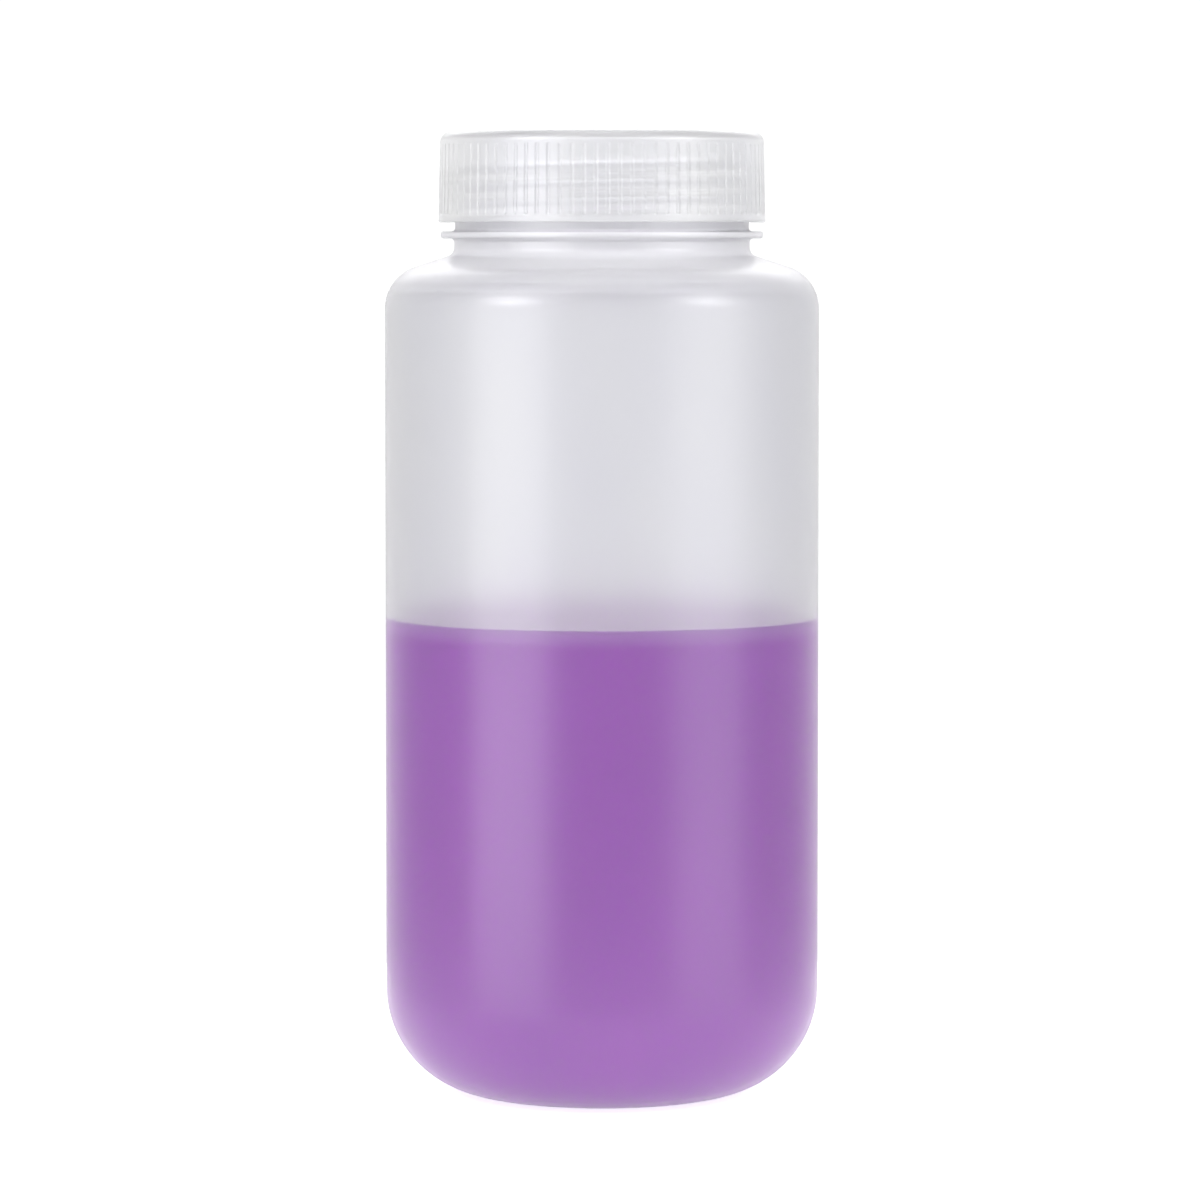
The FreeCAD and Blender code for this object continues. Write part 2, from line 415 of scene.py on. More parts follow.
class Skin:
    """A closed skin, built ring by ring along a section."""

    def __init__(self):
        self.points = []
        self.faces = []
        self.slots = []
        self.count = 0

    def ring(self, radii, height, angles):
        """Adds one ring of points and gives their numbers."""
        radii = np.broadcast_to(radii, angles.shape)
        height = np.broadcast_to(height, angles.shape)
        ring = np.stack((radii * np.cos(angles), radii * np.sin(angles), height), axis=1)
        self.points.append(ring)
        self.count += len(angles)
        return np.arange(self.count - len(angles), self.count)

    def add(self, faces, slot):
        """Adds faces with one finish."""
        self.faces += faces
        self.slots += [slot] * len(faces)

    def join(self, lower, upper, slot):
        """Four-sided faces between two rings with as many points."""
        quads = np.stack((lower, np.roll(lower, -1), np.roll(upper, -1), upper), axis=1)
        self.add(quads.tolist(), slot)

    def stitch(self, few, many, few_first):
        """Three-sided faces between a ring and one that has INNER_EVERY times its points.

        The skin runs on from the ring with few points if few_first, and else towards it.
        """
        half = INNER_EVERY // 2
        faces = []
        for index in range(len(few)):
            here = few[index]
            after = few[(index + 1) % len(few)]
            outer = [many[(index * INNER_EVERY + k) % len(many)] for k in range(INNER_EVERY + 1)]
            for k in range(INNER_EVERY):
                apex = here if k < half else after
                faces.append((outer[k], outer[k + 1], apex))
            faces.append((here, outer[half], after))
        if few_first:
            faces = [face[::-1] for face in faces]
        self.add([tuple(int(point) for point in face) for face in faces], OUTSIDE)

    def cap_off(self, ring, height, closes_above, slot=OUTSIDE):
        """A fan from a ring to a point on the axis."""
        self.points.append(np.array([[0.0, 0.0, height]]))
        pole = self.count
        self.count += 1
        after = np.roll(ring, -1)
        if closes_above:
            fan = [(int(a), int(b), pole) for a, b in zip(ring, after)]
        else:
            fan = [(int(b), int(a), pole) for a, b in zip(ring, after)]
        self.add(fan, slot)

    def rows(self, line, radii, angles, slot=OUTSIDE, lowered=None):
        """Joined rings along a line's heights, with radii for each ring, lowered where asked."""
        heights = line[:, 1:] - (0 if lowered is None else lowered)
        rings = [self.ring(radii[row], heights[row], angles) for row in range(len(line))]
        for lower, upper in zip(rings, rings[1:]):
            self.join(lower, upper, slot)
        return rings

    def finish(self, name, materials):
        """The mesh object of the skin, shaded smooth."""
        mesh = bpy.data.meshes.new(name)
        mesh.from_pydata(np.vstack(self.points), [], self.faces)
        for material in materials:
            mesh.materials.append(material)
        mesh.polygons.foreach_set("material_index", self.slots)
        mesh.shade_smooth()
        mesh.validate()
        mesh.update()
        piece = bpy.data.objects.new(name, mesh)
        bpy.context.scene.collection.objects.link(piece)
        return piece


class Levels:
    """Heights and radii that the bottle, the cap and the sample share."""

    def __init__(self, scene):
        sizes = scene.bottle_sizes
        self.standing_inner = sizes.body_radius - sizes.heel_radius - sizes.standing_width
        self.slope = math.tan(sizes.shoulder_slope)
        half_corner = math.tan((math.pi / 2 - sizes.shoulder_slope) / 2)
        self.shoulder_corner = sizes.wall_top + sizes.shoulder_radius * half_corner
        self.collar_radius = sizes.finish_radius + sizes.collar_step
        run_up = sizes.body_radius - self.collar_radius
        self.collar_foot = self.shoulder_corner + run_up * self.slope
        self.ring_bottom = self.collar_foot + sizes.collar_height
        self.ring_top = self.ring_bottom + sizes.ring_thickness
        self.ring_radius = sizes.finish_radius + sizes.ring_width
        self.bore_radius = sizes.finish_radius - sizes.finish_wall


def base_line(sizes, levels, lift, start=INNER_START):
    """The push-up and the standing ring's inner edge, from the axis outwards."""
    return [
        (start * sizes.push_up_radius, sizes.push_up + lift, 0, COARSE_RUN),
        (sizes.push_up_radius, sizes.push_up + lift, PUSH_UP_ROUND, COARSE_RUN),
        (levels.standing_inner, lift, STANDING_ROUND, COARSE_RUN),
    ]


def seam_line(sizes):
    """Rings close together over the pinch seam, from the axis out past its end."""
    return [
        (radius, sizes.push_up)
        for radius in np.arange(SEAM_RUN / 4, sizes.pinch_length / 2 + SEAM_RUN, SEAM_RUN)
    ]


def seam_depths(sizes, line, around):
    """How far the pinch seam stands down from the push-up's floor at each row and column."""
    across = np.abs(line[:, :1] * np.sin(around)[None, :]) / (sizes.pinch_width / 2)
    along = np.abs(line[:, :1] * np.cos(around)[None, :])
    left = np.clip((sizes.pinch_length / 2 - along) / SEAM_RUN, 0, 1)
    return sizes.pinch_height * np.clip(1 - across**2 / 2, 0, 1) ** 2 * left


def outer_line(sizes, levels):
    """The bottle's outside, from the base to the lip."""
    neck = sizes.finish_radius
    edge = sizes.edge_round
    root = sizes.root_round
    return section(
        base_line(sizes, levels, 0, start=OUTER_START)
        + [
            (sizes.body_radius, 0, sizes.heel_radius, COARSE_RUN),
            (sizes.body_radius, levels.shoulder_corner, sizes.shoulder_radius, COARSE_RUN),
            (levels.collar_radius, levels.collar_foot, sizes.neck_fillet, MM),
            (levels.collar_radius, levels.ring_bottom, root, MM),
            (levels.ring_radius, levels.ring_bottom, edge, MM),
            (levels.ring_radius, levels.ring_top, edge, MM),
            (neck, levels.ring_top, root, THREAD_RUN),
            (neck, sizes.lip_height, edge, MM),
            (neck - sizes.finish_wall / 2, sizes.lip_height, 0, MM),
        ]
    )


def inner_line(sizes, levels, wet_height):
    """The bottle's inside, from the lip down past the liquid's edge to the base's floor."""
    wall = sizes.wall
    drop = wall / math.cos(sizes.shoulder_slope) - wall * levels.slope
    inside = sizes.body_radius - wall
    corner = levels.shoulder_corner - drop
    mouth_foot = corner + (inside - levels.bore_radius) * levels.slope
    middle = sizes.finish_radius - sizes.finish_wall / 2
    fillet = sizes.neck_fillet + sizes.finish_wall
    return section(
        [
            (middle, sizes.lip_height, 0, MM),
            (levels.bore_radius, sizes.lip_height, sizes.edge_round, BORE_RUN),
            (levels.bore_radius, mouth_foot, fillet, COARSE_RUN),
            (inside, corner, sizes.shoulder_radius - wall, COARSE_RUN),
            (inside, wet_height, 0, COARSE_RUN),
            (inside, wall, sizes.heel_radius - wall, COARSE_RUN),
        ]
        + base_line(sizes, levels, wall)[::-1]
    )


def make_bottle(scene):
    """The blown bottle, its thread raised on the neck and the pinch seam on its base."""
    sizes = scene.bottle_sizes
    thread = scene.thread_sizes
    levels = Levels(scene)
    around = even_turns(BOTTLE_COLUMNS)
    outside = np.vstack((seam_line(sizes), outer_line(sizes, levels)))
    start = levels.ring_top + thread.start_height
    profile = (thread.height, thread.root, thread.crest)
    raised = ridge(outside[:, 1], around, start, thread, profile)
    on_neck = np.abs(outside[:, 0] - sizes.finish_radius) < SAME_PLACE
    on_neck &= outside[:, 1] > levels.ring_top
    radii = outside[:, :1] + raised * on_neck[:, None]
    on_floor = outside[:, 0] < sizes.push_up_radius
    on_floor &= outside[:, 1] > FLOOR_SHARE * sizes.push_up
    lowered = seam_depths(sizes, outside, around) * on_floor[:, None]
    zones = [zone[0] for zone in NECK_ZONES] + [levels.ring_top + THREAD_ZONE]
    splits = [int(np.argmax(outside[:, 1] > zone)) for zone in zones] + [len(outside)]
    skin = Skin()
    below = slice(splits[0])
    rings = skin.rows(outside[below], radii[below], around, lowered=lowered[below])
    skin.cap_off(rings[0], outside[0][1] - sizes.pinch_height, closes_above=False)
    for slot, (low, high) in enumerate(zip(splits, splits[1:]), start=FIRST_BAND):
        upper_rings = skin.rows(outside[low:high], radii[low:high], around, slot=slot)
        skin.join(rings[-1], upper_rings[0], slot=slot)
        rings = upper_rings
    wet_height = scene.sample_sizes.level + scene.sample_sizes.meniscus_height
    inside = inner_line(sizes, levels, wet_height)[1:]
    dry = inside[inside[:, 1] > wet_height - SAME_PLACE]
    wet = inside[len(dry) :]
    dry_rings = skin.rows(dry, dry[:, :1], around, slot=INSIDE)
    wet_rings = skin.rows(wet, wet[:, :1], around, slot=WETTED)
    skin.join(rings[-1], dry_rings[0], slot=INSIDE)
    skin.join(dry_rings[-1], wet_rings[0], slot=WETTED)
    skin.cap_off(wet_rings[-1], wet[-1][1], closes_above=True, slot=WETTED)
    return skin


def rib_angles(sizes):
    """Column angles round the skirt: a few close together at each groove."""
    pitch = math.tau / sizes.ribs
    spread = RIB_OFFSETS / RIB_OFFSETS[-1] * pitch / 2
    return (even_turns(sizes.ribs)[:, None] + spread[None, :]).ravel()


def grip_ends(sizes):
    """Heights of the grooves' lower and upper ends."""
    return sizes.skirt_foot + sizes.foot_band, sizes.top - sizes.top_round - sizes.head_band


def groove_depths(sizes, line, around):
    """How deep the grooves are at each row and column of the skirt."""
    pitch = math.tau / sizes.ribs
    off = (around + pitch / 2) % pitch - pitch / 2
    across = np.abs(off) * sizes.skirt_radius
    flank = (sizes.groove_mouth - sizes.groove_floor) / 2
    mouth = np.clip((sizes.groove_mouth / 2 - across) / flank, 0, 1)
    mouth = mouth * mouth * (3 - 2 * mouth)
    low, high = grip_ends(sizes)
    up = np.clip((line[:, 1] - low) / sizes.groove_run, 0, 1)
    down = np.clip((high - line[:, 1]) / sizes.groove_run, 0, 1)
    return sizes.groove_depth * (up * down)[:, None] * mouth[None, :]


def cap_inner_line(sizes, levels, bore, underside):
    """The cap's inside, from its middle out over the plug ring and down the bore."""
    plug_outer = levels.bore_radius - sizes.plug_clearance
    plug_inner = plug_outer - sizes.plug_wall
    tip = underside - sizes.plug_length
    small = PLUG_ROUND
    return section(
        [
            (CAP_CENTRE, underside, 0, COARSE_RUN),
            (plug_inner, underside, 2 * small, MM),
            (plug_inner, tip, small, MM),
            (plug_inner + sizes.plug_tip, tip, small, MM),
            (plug_outer, tip + sizes.plug_wall, 2 * small, MM),
            (plug_outer, underside, small, MM),
            (bore, underside, small, THREAD_RUN),
            (bore, sizes.skirt_foot + sizes.mouth_chamfer, small / 2, MM),
            (bore + sizes.mouth_chamfer, sizes.skirt_foot, small / 2, MM),
            ((bore + sizes.skirt_radius) / 2, sizes.skirt_foot, 0, MM),
        ]
    )


def cap_outer_line(sizes, bore):
    """The cap's outside, from the middle of its foot up and over to the top panel."""
    lean = math.tan(sizes.draft)
    top_radius = sizes.skirt_radius - (sizes.top - sizes.skirt_foot) * lean

    def skirt(height):
        """The drafted skirt's radius at a height."""
        return sizes.skirt_radius - (height - sizes.skirt_foot) * lean

    low, high = grip_ends(sizes)
    run = sizes.groove_run
    fine = run / 4
    return section(
        [
            ((bore + sizes.skirt_radius) / 2 + FOOT_STEP, sizes.skirt_foot, 0, MM),
            (sizes.skirt_radius, sizes.skirt_foot, sizes.foot_round, MM / 2),
            (skirt(low), low, 0, fine),
            (skirt(low + run), low + run, 0, 2 * MM),
            (skirt(high - run), high - run, 0, fine),
            (skirt(high), high, 0, fine),
            (top_radius, sizes.top, sizes.top_round, MM),
            (top_radius - TOP_REACH * sizes.top_round, sizes.top, 0, MM),
        ]
    )


def make_cap(scene):
    """The moulded cap: ribs outside, thread and plug ring inside."""
    sizes = scene.cap_sizes
    thread = scene.thread_sizes
    levels = Levels(scene)
    bore = sizes.skirt_radius - sizes.skirt_wall
    underside = sizes.top - sizes.panel
    outer_angles = rib_angles(sizes)
    inner_angles = outer_angles[::INNER_EVERY]
    skin = Skin()

    inside = cap_inner_line(sizes, levels, bore, underside)
    start = levels.ring_top + thread.start_height - thread.pitch / 2
    profile = (thread.cap_height, thread.cap_root, thread.cap_crest)
    raised = ridge(inside[:, 1], inner_angles, start, thread, profile)
    on_bore = np.abs(inside[:, 0] - bore) < SAME_PLACE
    radii = inside[:, :1] - raised * on_bore[:, None]
    split = int(np.argmax(on_bore))
    panel_rings = skin.rows(inside[:split], radii[:split], inner_angles, slot=INSIDE)
    skin.cap_off(panel_rings[0], inside[0][1], closes_above=False, slot=INSIDE)
    inner_rings = skin.rows(inside[split:], radii[split:], inner_angles, slot=BORE)
    skin.join(panel_rings[-1], inner_rings[0], slot=BORE)

    outside = cap_outer_line(sizes, bore)
    radii = outside[:, :1] - groove_depths(sizes, outside, outer_angles)
    outer_rings = skin.rows(outside, radii, outer_angles)
    skin.stitch(inner_rings[-1], outer_rings[0], few_first=True)

    edge = outside[-1][0] - MM
    top_line = section([(edge, sizes.top, 0, COARSE_RUN), (CAP_CENTRE, sizes.top, 0, MM)])
    top_rings = skin.rows(top_line, top_line[:, :1], inner_angles)
    skin.stitch(top_rings[0], outer_rings[-1], few_first=False)
    skin.cap_off(top_rings[-1], sizes.top, closes_above=True)
    return skin


def make_sample(scene):
    """The liquid: the lower part of the hollow, with a small meniscus at the wall."""
    sizes = scene.bottle_sizes
    sample = scene.sample_sizes
    levels = Levels(scene)
    inset = sizes.wall + sample.stand_off
    radius = sizes.body_radius - inset
    wall_line = section(
        base_line(sizes, levels, inset)
        + [
            (radius, inset, sizes.heel_radius - inset, COARSE_RUN),
            (radius, sample.level + sample.meniscus_height, 0, MM),
        ]
    )
    steps = np.linspace(MENISCUS_FIRST, 1, MENISCUS_ROWS) ** 2
    away = steps * MENISCUS_RUN * sample.meniscus_reach
    rise = sample.meniscus_height * np.exp(-away / (sample.meniscus_reach / 2))
    surface = np.stack((radius - away, sample.level + rise), axis=1)
    flat = [(surface[-1][0], sample.level, 0, COARSE_RUN), (SAMPLE_CENTRE, sample.level, 0, MM)]
    top_line = np.vstack((surface, section(flat)[1:]))
    around = even_turns(BOTTLE_COLUMNS)
    skin = Skin()
    at_wall = skin.rows(wall_line, wall_line[:, :1], around)
    on_top = skin.rows(top_line, top_line[:, :1], around, slot=ON_TOP)
    skin.join(at_wall[-1], on_top[0], slot=ON_TOP)
    skin.cap_off(at_wall[0], wall_line[0][1], closes_above=False)
    skin.cap_off(on_top[-1], sample.level, closes_above=True, slot=ON_TOP)
    return skin


class NodeTree:
    """Adds linked nodes to the node tree of a material or a world."""

    def __init__(self, tree):
        self.tree = tree

    def map_range(self, value, low, high, to_low=0.0, to_high=1.0):
        """Maps a value from one range to another and holds it at the ends."""
        node = self.tree.nodes.new("ShaderNodeMapRange")
        ends = {"From Min": low, "From Max": high, "To Min": to_low, "To Max": to_high}
        for socket, end in ends.items():
            node.inputs[socket].default_value = end
        self.tree.links.new(value, node.inputs["Value"])
        return node.outputs["Result"]

    def product(self, first, second):
        """Multiplies two values."""
        node = self.tree.nodes.new("ShaderNodeMath")
        node.operation = "MULTIPLY"
        for socket, value in enumerate((first, second)):
            self.tree.links.new(value, node.inputs[socket])
        return node.outputs["Value"]

    def parts(self, vector):
        """Splits a place or a direction into its three parts."""
        node = self.tree.nodes.new("ShaderNodeSeparateXYZ")
        self.tree.links.new(vector, node.inputs[0])
        return node.outputs


class MaterialNodes(NodeTree):
    """Builds one material's node tree."""

    def __init__(self, name):
        self.material = bpy.data.materials.new(name)
        self.material.use_nodes = True
        super().__init__(self.material.node_tree)
        self.tree.nodes.clear()
        self.shader = self.tree.nodes.new("ShaderNodeBsdfPrincipled")
        output = self.tree.nodes.new("ShaderNodeOutputMaterial")
        self.tree.links.new(self.shader.outputs[0], output.inputs["Surface"])
        self.place = self.tree.nodes.new("ShaderNodeTexCoord").outputs["Object"]

    def noise(self, scale, detail=2.0, stretch=None):
        """A noise at so many waves a metre, stretched along the height if asked."""
        texture = self.tree.nodes.new("ShaderNodeTexNoise")
        texture.inputs["Scale"].default_value = scale
        texture.inputs["Detail"].default_value = detail
        place = self.place
        if stretch:
            mapping = self.tree.nodes.new("ShaderNodeMapping")
            mapping.inputs["Scale"].default_value = (1.0, 1.0, stretch)
            self.tree.links.new(place, mapping.inputs["Vector"])
            place = mapping.outputs["Vector"]
        self.tree.links.new(place, texture.inputs["Vector"])
        return texture.outputs["Fac"]

    def spread(self, value, low, high):
        """Maps a noise to a range of numbers."""
        return self.map_range(value, NOISE_LOW, NOISE_HIGH, low, high)

    def climb(self, low, high):
        """Goes from nought at a low height to one at a high one."""
        return self.map_range(self.parts(self.place)["Z"], low, high)

    def reach(self, low, high):
        """Goes from nought at one distance from the axis to one at another."""
        flat = self.tree.nodes.new("ShaderNodeVectorMath")
        flat.operation = "MULTIPLY"
        flat.inputs[1].default_value = (1.0, 1.0, 0.0)
        self.tree.links.new(self.place, flat.inputs[0])
        distance = self.tree.nodes.new("ShaderNodeVectorMath")
        distance.operation = "LENGTH"
        self.tree.links.new(flat.outputs["Vector"], distance.inputs[0])
        return self.map_range(distance.outputs["Value"], low, high)

    def blend(self, amount, first, second):
        """Mixes two colours, each a plain one or another node's output."""
        node = self.tree.nodes.new("ShaderNodeMix")
        node.data_type = "RGBA"
        self.tree.links.new(amount, node.inputs["Factor"])
        for socket, tone in (("A", first), ("B", second)):
            if isinstance(tone, tuple):
                node.inputs[socket].default_value = (*tone, 1.0)
            else:
                self.tree.links.new(tone, node.inputs[socket])
        return node.outputs["Result"]

    def tint(self, value, first, second):
        """Mixes two colours by a noise."""
        return self.blend(self.spread(value, 0, 1), first, second)

    def bump(self, value, depth):
        """A bump of this depth in metres."""
        node = self.tree.nodes.new("ShaderNodeBump")
        node.inputs["Strength"].default_value = 1.0
        node.inputs["Distance"].default_value = depth
        self.tree.links.new(value, node.inputs["Height"])
        return node.outputs["Normal"]

    def set(self, **values):
        """Sets the shader's own sockets, with underscores for the spaces in their names."""
        for name, value in values.items():
            self.shader.inputs[name.replace("_", " ")].default_value = value

    def feed(self, socket, output):
        """Links a node's output to one of the shader's sockets."""
        self.tree.links.new(output, self.shader.inputs[socket])


def shaded(tone, by):
    """A colour made darker or lighter."""
    return tuple(min(1.0, part * by) for part in tone)


def milky_plastic(name, tones, clear, rough, flow_depth, ior=PLASTIC_IOR, crest=None):
    """Natural polypropylene: milky, partly clear, with a soft haze and faint flow marks.

    The first tone is the plastic's own; a second one is the thinner neck's. The crest is a darker
    tone painted on the thread as painted shade, and the distances from the axis where it starts and
    is full.
    """
    nodes = MaterialNodes(name)
    cloud = nodes.noise(CLOUD_WAVES, stretch=CLOUD_STRETCH)
    tinted = [nodes.tint(cloud, tone, shaded(tone, CLOUD_SHADE)) for tone in tones]
    if len(tinted) > 1:
        tinted = [nodes.blend(nodes.climb(*NECK_FADE), *tinted)]
    # Painted shade: the thread's crest is painted in the darker thread tone
    if crest:
        tone, low, high = crest
        tinted = [nodes.blend(nodes.reach(low, high), tinted[0], tone)]
    nodes.feed("Base Color", tinted[0])
    haze = nodes.noise(HAZE_WAVES, detail=HAZE_DETAIL)
    smoothest, roughest = (1 - HAZE_SPREAD) * rough, (1 + HAZE_SPREAD) * rough
    nodes.feed("Roughness", nodes.spread(haze, smoothest, roughest))
    flow = nodes.noise(FLOW_WAVES, stretch=FLOW_STRETCH)
    nodes.feed("Normal", nodes.bump(flow, flow_depth))
    nodes.set(IOR=ior, Transmission_Weight=clear)
    return nodes.material


def edge_haze(material, weight):
    """Gives a plastic's outside its pale haze where it is seen at a grazing angle."""
    shader = material.node_tree.nodes["Principled BSDF"]
    shader.inputs["Sheen Weight"].default_value = weight
    shader.inputs["Sheen Roughness"].default_value = SHEEN_ROUGH


def sample_liquid(name, tones, level, gloss):
    """The coloured sample: faintly clouded, painted lighter under its level as painted light, with
    a wet gloss on top.
    """
    nodes = MaterialNodes(name)
    cloud = nodes.noise(SAMPLE_WAVES)
    body, edge = (nodes.tint(cloud, tone, shaded(tone, SAMPLE_SHADE)) for tone in tones)
    # Painted light: the colour fades to a paler tone over the last stretch under the level
    nodes.feed("Base Color", nodes.blend(nodes.climb(level - LEVEL_LIGHT_FADE, level), body, edge))
    nodes.feed("Roughness", nodes.spread(nodes.noise(SAMPLE_ROUGH_WAVES), *SAMPLE_ROUGH))
    nodes.feed("Normal", nodes.bump(nodes.noise(RIPPLE_WAVES), RIPPLE_DEPTH))
    nodes.set(IOR=SAMPLE_IOR, Specular_IOR_Level=gloss)
    return nodes.material


class SAMPLEBOTTLE_OT_bottle(bpy.types.Operator):
    """Make the blown bottle in place of its plain solid"""

    bl_idname = "samplebottle.bottle"
    bl_label = "Bottle"

    def execute(self, context):
        scene = context.scene
        finish = scene.finishes
        neck = tuple(finish.neck_colour)
        outside = [tuple(finish.bottle_colour), neck]
        inside = [tuple(finish.inside_colour), neck]
        wetted = [tuple(finish.wetted_colour)]
        deep = BOTTLE_FLOW_DEPTH
        rough = finish.bottle_rough
        skins = [
            milky_plastic("bottle_outside", outside, finish.bottle_clear, rough, deep),
            milky_plastic("bottle_inside", inside, 1.0, finish.inside_rough, deep),
            milky_plastic("bottle_wetted", wetted, 1.0, finish.wetted_rough, deep, WETTED_IOR),
        ]
        for index, (_, kept) in enumerate(NECK_ZONES):
            clear = finish.neck_clear + kept * (finish.bottle_clear - finish.neck_clear)
            name = f"neck_outside_{index + 1}"
            skins.append(milky_plastic(name, outside, clear, rough, deep))
        for skin in (skins[OUTSIDE], *skins[FIRST_BAND:]):
            edge_haze(skin, finish.bottle_sheen)
        neck_radius = scene.bottle_sizes.finish_radius
        # Painted shade: the neck thread's crest is painted darker
        crest = (tuple(finish.painted_thread_shade), *(neck_radius + out for out in CREST_SHADE))
        clear, rough = finish.neck_clear, finish.thread_rough
        skins.append(milky_plastic("neck_thread", [neck], clear, rough, deep, crest=crest))
        piece = make_bottle(scene).finish("bottle_moulding", skins)
        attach(piece, "bottle")
        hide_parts("bottle")
        return {"FINISHED"}


class SAMPLEBOTTLE_OT_cap(bpy.types.Operator):
    """Make the ribbed screw cap in place of its plain solid"""

    bl_idname = "samplebottle.cap"
    bl_label = "Screw cap"

    def execute(self, context):
        scene = context.scene
        finish = scene.finishes
        tones = [tuple(finish.cap_colour)]
        deep = CAP_FLOW_DEPTH
        rough = finish.cap_inside_rough
        bore = scene.cap_sizes.skirt_radius - scene.cap_sizes.skirt_wall
        # Painted shade: the cap thread's crest is painted darker
        crest = (tuple(finish.painted_thread_shade), *(bore - out for out in CAP_CREST_SHADE))
        skins = [
            milky_plastic("cap_outside", tones, finish.cap_clear, finish.cap_rough, deep),
            milky_plastic("cap_inside", tones, 1.0, rough, deep),
            milky_plastic("cap_bore", tones, 1.0, rough, deep, crest=crest),
        ]
        edge_haze(skins[OUTSIDE], finish.bottle_sheen)
        piece = make_cap(scene).finish("cap_moulding", skins)
        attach(piece, "cap")
        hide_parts("screw_cap")
        return {"FINISHED"}


class SAMPLEBOTTLE_OT_sample(bpy.types.Operator):
    """Make the liquid in place of its plain solid"""

    bl_idname = "samplebottle.sample"
    bl_label = "Sample"

    def execute(self, context):
        scene = context.scene
        body = tuple(scene.finishes.sample_colour)
        # Painted light: the paler tone painted just under the level
        edge = tuple(scene.finishes.level_light_colour)
        level = scene.sample_sizes.level
        skins = [
            sample_liquid("sample_at_wall", (body, edge), level, WALL_GLOSS),
            sample_liquid("sample_top", (body, body), level, TOP_GLOSS),
        ]
        piece = make_sample(scene).finish("sample_fill", skins)
        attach(piece, "bottle")
        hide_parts("liquid")
        return {"FINISHED"}


def white_surroundings(scene, studio):
    """An even white world, dimmer overhead, and weaker in the gloss but straight behind.

    A dim ceiling and dark flags beside a set do the same.
    """
    world = bpy.data.worlds.new("studio_surroundings")
    world.use_nodes = True
    tree = world.node_tree
    nodes = NodeTree(tree)
    direction = nodes.parts(tree.nodes.new("ShaderNodeTexCoord").outputs["Generated"])
    rays = tree.nodes.new("ShaderNodeLightPath")
    flagged = nodes.map_range(direction["Y"], *BEHIND_TO_BESIDE)
    for kind in ("Is Glossy Ray", "Is Reflection Ray"):
        flagged = nodes.product(flagged, rays.outputs[kind])
    strength = nodes.map_range(flagged, 0.0, 1.0, studio.sky, studio.sky * studio.gloss_share)
    overhead = nodes.map_range(direction["Z"], CEILING_START, 1.0, 1.0, studio.ceiling)
    backdrop = tree.nodes["Background"]
    backdrop.inputs["Color"].default_value = WHITE
    tree.links.new(nodes.product(strength, overhead), backdrop.inputs["Strength"])
    scene.world = world


def table_top(scene, studio):
    """The plain white table top, lit from within like a light table."""
    nodes = MaterialNodes("studio_table")
    nodes.feed("Base Color", nodes.tint(nodes.noise(TABLE_WAVES), *TABLE_TONES))
    nodes.set(
        Roughness=TABLE_ROUGH,
        Specular_IOR_Level=0.0,
        Emission_Color=WHITE,
        Emission_Strength=studio.table_glow,
    )
    rim = [(math.cos(turn), math.sin(turn), 0.0) for turn in even_turns(TABLE_SIDES)]
    mesh = bpy.data.meshes.new("floor")
    mesh.from_pydata(np.array(rim) * studio.table_radius, [], [tuple(range(TABLE_SIDES))])
    mesh.materials.append(nodes.material)
    table = bpy.data.objects.new("floor", mesh)
    table.location.z = -TABLE_DROP
    scene.collection.objects.link(table)


def softbox(scene, name, power, size, turn, rise, lights_all):
    """A rectangular area light, a metre from the bottle's middle and facing it."""
    light = bpy.data.lights.new(name, "AREA")
    light.shape = "RECTANGLE"
    light.size, light.size_y = size
    light.energy = power
    lamp = bpy.data.objects.new(name, light)
    turn, rise = math.radians(turn), math.radians(rise)
    level = math.cos(rise)
    away = Vector((math.sin(turn) * level, -math.cos(turn) * level, math.sin(rise)))
    lamp.location = Vector((0.0, 0.0, AIM_HEIGHT)) + away
    lamp.rotation_euler = away.to_track_quat("Z", "Y").to_euler()
    lamp.visible_diffuse = lights_all
    lamp.visible_transmission = lights_all
    scene.collection.objects.link(lamp)


def studio_camera(scene, studio):
    """The camera at the photograph's place, angle and focal length."""
    lens = bpy.data.cameras.new("photo_camera")
    lens.sensor_width = SENSOR_WIDTH
    lens.lens = studio.focal * lens.sensor_width
    lens.clip_start = CLIP_START
    camera = bpy.data.objects.new("photo_camera", lens)
    camera.location = (-studio.aside, -studio.distance, studio.height)
    camera.rotation_euler = (math.pi / 2 - studio.pitch, 0.0, 0.0)
    scene.collection.objects.link(camera)
    scene.camera = camera


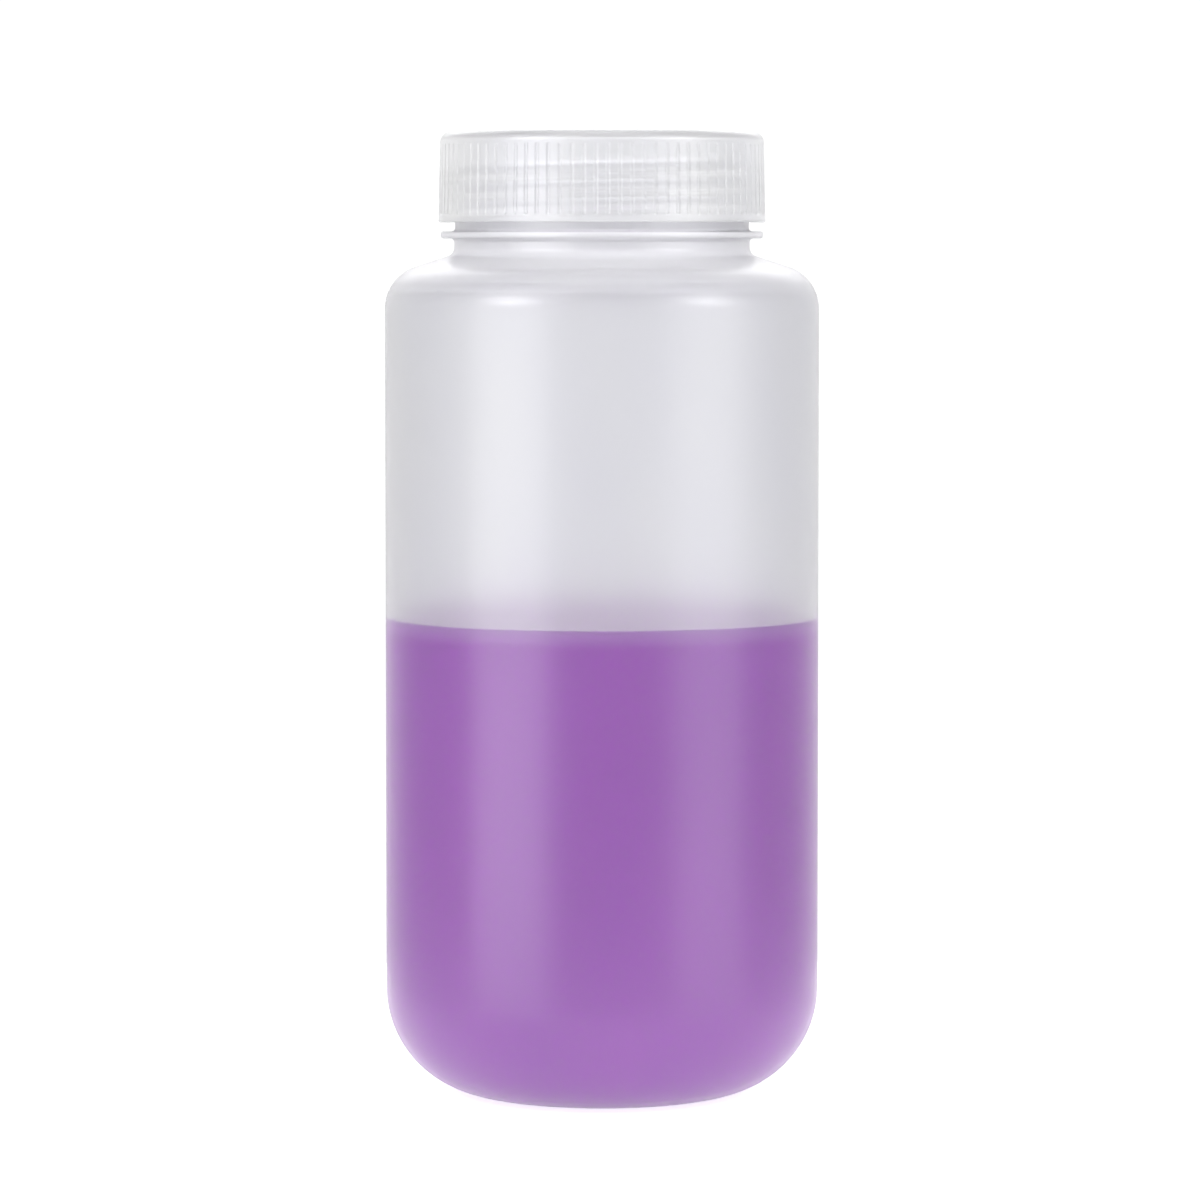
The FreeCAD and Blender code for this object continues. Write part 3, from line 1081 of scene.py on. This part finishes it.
class SAMPLEBOTTLE_OT_stage(bpy.types.Operator):
    """Set up the white table, the surroundings, the softboxes and the camera"""

    bl_idname = "samplebottle.stage"
    bl_label = "Stage"

    def execute(self, context):
        scene = context.scene
        studio = scene.studio_settings
        scene.view_settings.view_transform = "Standard"
        white_surroundings(scene, studio)
        table_top(scene, studio)
        for name, (power, *how) in SOFTBOXES.items():
            softbox(scene, name, getattr(studio, power), *how)
        studio_camera(scene, studio)
        return {"FINISHED"}


class SAMPLEBOTTLE_PT_panel(bpy.types.Panel):
    """Lists the pieces and their sizes"""

    bl_idname = "SAMPLEBOTTLE_PT_panel"
    bl_label = "Sample Bottle"
    bl_space_type = "VIEW_3D"
    bl_region_type = "UI"
    bl_category = "Sample Bottle"

    def draw(self, context):
        for operator in OPERATORS:
            self.layout.operator(operator.bl_idname)
        for name in GROUPS:
            group = getattr(context.scene, name)
            box = self.layout.box()
            for key in group.__annotations__:
                box.prop(group, key)


OPERATORS = (
    SAMPLEBOTTLE_OT_bottle,
    SAMPLEBOTTLE_OT_cap,
    SAMPLEBOTTLE_OT_sample,
    SAMPLEBOTTLE_OT_stage,
)

GROUPS = {
    "bottle_sizes": BottleSizes,
    "thread_sizes": ThreadSizes,
    "cap_sizes": CapSizes,
    "sample_sizes": SampleSizes,
    "finishes": Finishes,
    "studio_settings": StudioSettings,
}


def register():
    """Registers the classes and gives the scene its settings."""
    for kind in (*GROUPS.values(), *OPERATORS, SAMPLEBOTTLE_PT_panel):
        bpy.utils.register_class(kind)
    for name, group in GROUPS.items():
        setattr(bpy.types.Scene, name, bpy.props.PointerProperty(type=group))


def unregister():
    """Takes the scene's settings and the classes away again."""
    for name in GROUPS:
        delattr(bpy.types.Scene, name)
    for kind in reversed((*GROUPS.values(), *OPERATORS, SAMPLEBOTTLE_PT_panel)):
        bpy.utils.unregister_class(kind)


def main():
    """Registers the settings, then builds every piece and the stage."""
    register()
    bpy.ops.samplebottle.bottle()
    bpy.ops.samplebottle.cap()
    bpy.ops.samplebottle.sample()
    bpy.ops.samplebottle.stage()


if __name__ == "__main__":
    main()
